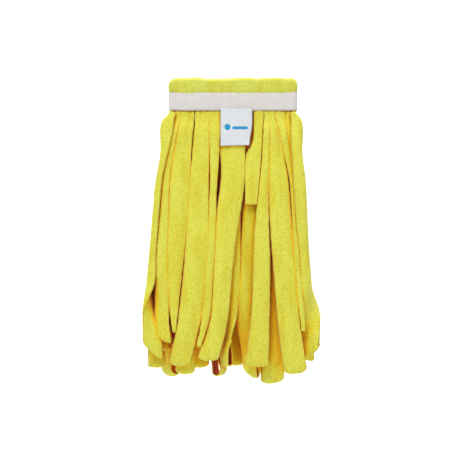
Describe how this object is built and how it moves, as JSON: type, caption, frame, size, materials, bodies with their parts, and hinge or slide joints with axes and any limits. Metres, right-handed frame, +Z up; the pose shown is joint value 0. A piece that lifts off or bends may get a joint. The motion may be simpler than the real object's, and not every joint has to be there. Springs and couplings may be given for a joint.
{
  "type": "strip mop head",
  "caption": "Hanging mop head of looped brushed microfibre strips sewn into a flat white-taped headband with a cloth cuff and a small label.",
  "frame": {"origin": "centre of the sewn headband, which a mop clamp grips", "axes": "+Z up as the mop head hangs, -Y towards the labelled front, +X to the right seen from the front"},
  "size_m": [0.2213, 0.055, 0.3806],
  "materials": {
    "strip_cloth": "brushed yellow microfibre pile",
    "cuff_cloth": "yellow microfibre cloth, flatter pile",
    "woven_tape": "warm white plain-woven tape",
    "thread": "white sewing thread",
    "label_cloth": "smooth white label cloth"
  },
  "bodies": {
    "root": {"cuff": "cuff_cloth", "headband_tape": "woven_tape", "strip_heads_front_outer": "strip_cloth", "strip_heads_front_inner": "strip_cloth", "strip_heads_back_inner": "strip_cloth", "strip_heads_back_outer": "strip_cloth", "strip_heads_side": "strip_cloth", "stitches_front_upper": "thread", "stitches_front_lower": "thread", "stitches_back_upper": "thread", "stitches_back_lower": "thread", "label_hem": "label_cloth"},
    "front_loop_5": {"front_loop_5": "strip_cloth"},
    "inner_loop_3": {"inner_loop_3": "strip_cloth"},
    "inner_loop_1": {"inner_loop_1": "strip_cloth"},
    "front_loop_1": {"front_loop_1": "strip_cloth"},
    "front_loop_2": {"front_loop_2": "strip_cloth"},
    "inner_loop_2": {"inner_loop_2": "strip_cloth"},
    "front_loop_3": {"front_loop_3": "strip_cloth"},
    "front_loop_4": {"front_loop_4": "strip_cloth"},
    "inner_loop_4": {"inner_loop_4": "strip_cloth"},
    "loose_tail": {"loose_tail": "strip_cloth"},
    "front_loop_6": {"front_loop_6": "strip_cloth"},
    "inner_loop_5": {"inner_loop_5": "strip_cloth"},
    "front_loop_7": {"front_loop_7": "strip_cloth"},
    "front_loop_8": {"front_loop_8": "strip_cloth"},
    "back_inner_loop_1": {"back_inner_loop_1": "strip_cloth"},
    "back_loop_1": {"back_loop_1": "strip_cloth"},
    "back_inner_loop_2": {"back_inner_loop_2": "strip_cloth"},
    "back_loop_2": {"back_loop_2": "strip_cloth"},
    "back_inner_loop_3": {"back_inner_loop_3": "strip_cloth"},
    "back_loop_4": {"back_loop_4": "strip_cloth"},
    "back_inner_loop_4": {"back_inner_loop_4": "strip_cloth"},
    "back_loop_5": {"back_loop_5": "strip_cloth"},
    "back_loop_3": {"back_loop_3": "strip_cloth"},
    "left_inner_loop": {"left_inner_loop": "strip_cloth"},
    "left_outer_loop": {"left_outer_loop": "strip_cloth"},
    "right_inner_loop": {"right_inner_loop": "strip_cloth"},
    "right_outer_loop": {"right_outer_loop": "strip_cloth"},
    "label_flap": {"label_flap": "label_cloth"}
  },
  "joints": [
    {"name": "front_loop_5_swing", "type": "hinge", "parent": "root", "child": "front_loop_5", "pos_m": [0, -0.0063, -0.014], "axis": [-1, 0, 0], "range_deg": [0, 60]},
    {"name": "inner_loop_3_swing", "type": "hinge", "parent": "root", "child": "inner_loop_3", "pos_m": [0, -0.00215, -0.014], "axis": [-1, 0, 0], "range_deg": [0, 18]},
    {"name": "inner_loop_1_swing", "type": "hinge", "parent": "root", "child": "inner_loop_1", "pos_m": [0, -0.00215, -0.014], "axis": [-1, 0, 0], "range_deg": [0, 45]},
    {"name": "front_loop_1_swing", "type": "hinge", "parent": "inner_loop_1", "child": "front_loop_1", "pos_m": [0, -0.00665, -0.0183], "axis": [-1, 0, 0], "range_deg": [0, 40]},
    {"name": "front_loop_2_swing", "type": "hinge", "parent": "inner_loop_1", "child": "front_loop_2", "pos_m": [0, -0.00665, -0.0183], "axis": [-1, 0, 0], "range_deg": [0, 40]},
    {"name": "inner_loop_2_swing", "type": "hinge", "parent": "root", "child": "inner_loop_2", "pos_m": [0, -0.00215, -0.014], "axis": [-1, 0, 0], "range_deg": [0, 45]},
    {"name": "front_loop_3_swing", "type": "hinge", "parent": "inner_loop_2", "child": "front_loop_3", "pos_m": [0, -0.00665, -0.0183], "axis": [-1, 0, 0], "range_deg": [0, 40]},
    {"name": "front_loop_4_swing", "type": "hinge", "parent": "inner_loop_2", "child": "front_loop_4", "pos_m": [0, -0.00665, -0.0183], "axis": [-1, 0, 0], "range_deg": [0, 40]},
    {"name": "inner_loop_4_swing", "type": "hinge", "parent": "root", "child": "inner_loop_4", "pos_m": [0, -0.00215, -0.014], "axis": [-1, 0, 0], "range_deg": [0, 18]},
    {"name": "loose_tail_swing", "type": "hinge", "parent": "inner_loop_4", "child": "loose_tail", "pos_m": [0, -0.00665, -0.0183], "axis": [-1, 0, 0], "range_deg": [0, 60]},
    {"name": "front_loop_6_swing", "type": "hinge", "parent": "inner_loop_4", "child": "front_loop_6", "pos_m": [0, -0.00665, -0.0183], "axis": [-1, 0, 0], "range_deg": [0, 55]},
    {"name": "inner_loop_5_swing", "type": "hinge", "parent": "root", "child": "inner_loop_5", "pos_m": [0, -0.00215, -0.014], "axis": [-1, 0, 0], "range_deg": [0, 45]},
    {"name": "front_loop_7_swing", "type": "hinge", "parent": "inner_loop_5", "child": "front_loop_7", "pos_m": [0, -0.00665, -0.0183], "axis": [-1, 0, 0], "range_deg": [0, 40]},
    {"name": "front_loop_8_swing", "type": "hinge", "parent": "inner_loop_5", "child": "front_loop_8", "pos_m": [0, -0.00665, -0.0183], "axis": [-1, 0, 0], "range_deg": [0, 40]},
    {"name": "back_inner_loop_1_swing", "type": "hinge", "parent": "root", "child": "back_inner_loop_1", "pos_m": [0, 0.00215, -0.014], "axis": [1, 0, 0], "range_deg": [0, 45]},
    {"name": "back_loop_1_swing", "type": "hinge", "parent": "back_inner_loop_1", "child": "back_loop_1", "pos_m": [0, 0.00665, -0.0183], "axis": [1, 0, 0], "range_deg": [0, 40]},
    {"name": "back_inner_loop_2_swing", "type": "hinge", "parent": "root", "child": "back_inner_loop_2", "pos_m": [0, 0.00215, -0.014], "axis": [1, 0, 0], "range_deg": [0, 45]},
    {"name": "back_loop_2_swing", "type": "hinge", "parent": "back_inner_loop_2", "child": "back_loop_2", "pos_m": [0, 0.00665, -0.0183], "axis": [1, 0, 0], "range_deg": [0, 40]},
    {"name": "back_inner_loop_3_swing", "type": "hinge", "parent": "root", "child": "back_inner_loop_3", "pos_m": [0, 0.00215, -0.014], "axis": [1, 0, 0], "range_deg": [0, 45]},
    {"name": "back_loop_4_swing", "type": "hinge", "parent": "back_inner_loop_3", "child": "back_loop_4", "pos_m": [0, 0.00665, -0.0183], "axis": [1, 0, 0], "range_deg": [0, 40]},
    {"name": "back_inner_loop_4_swing", "type": "hinge", "parent": "root", "child": "back_inner_loop_4", "pos_m": [0, 0.00215, -0.014], "axis": [1, 0, 0], "range_deg": [0, 45]},
    {"name": "back_loop_5_swing", "type": "hinge", "parent": "back_inner_loop_4", "child": "back_loop_5", "pos_m": [0, 0.00665, -0.0183], "axis": [1, 0, 0], "range_deg": [0, 40]},
    {"name": "back_loop_3_swing", "type": "hinge", "parent": "root", "child": "back_loop_3", "pos_m": [0, 0.0063, -0.014], "axis": [1, 0, 0], "range_deg": [0, 75]},
    {"name": "left_inner_loop_swing", "type": "hinge", "parent": "root", "child": "left_inner_loop", "pos_m": [-0.072, 0, -0.014], "axis": [0, 1, 0], "range_deg": [0, 45]},
    {"name": "left_outer_loop_swing", "type": "hinge", "parent": "left_inner_loop", "child": "left_outer_loop", "pos_m": [-0.0772, 0, -0.0193], "axis": [0, 1, 0], "range_deg": [0, 35]},
    {"name": "right_inner_loop_swing", "type": "hinge", "parent": "root", "child": "right_inner_loop", "pos_m": [0.072, 0, -0.014], "axis": [0, -1, 0], "range_deg": [0, 45]},
    {"name": "right_outer_loop_swing", "type": "hinge", "parent": "right_inner_loop", "child": "right_outer_loop", "pos_m": [0.0767, 0, -0.0193], "axis": [0, -1, 0], "range_deg": [0, 35]},
    {"name": "label_flap_swing", "type": "hinge", "parent": "root", "child": "label_flap", "pos_m": [0, -0.0109, -0.0122], "axis": [-1, 0, 0], "range_deg": [0, 90]}
  ],
  "couplings": [
    {"joint": "label_flap_swing", "follows": "front_loop_5_swing", "ratio": 1.5},
    {"joint": "inner_loop_3_swing", "follows": "front_loop_5_swing", "ratio": 0.3},
    {"joint": "inner_loop_4_swing", "follows": "front_loop_5_swing", "ratio": 0.3}
  ]
}
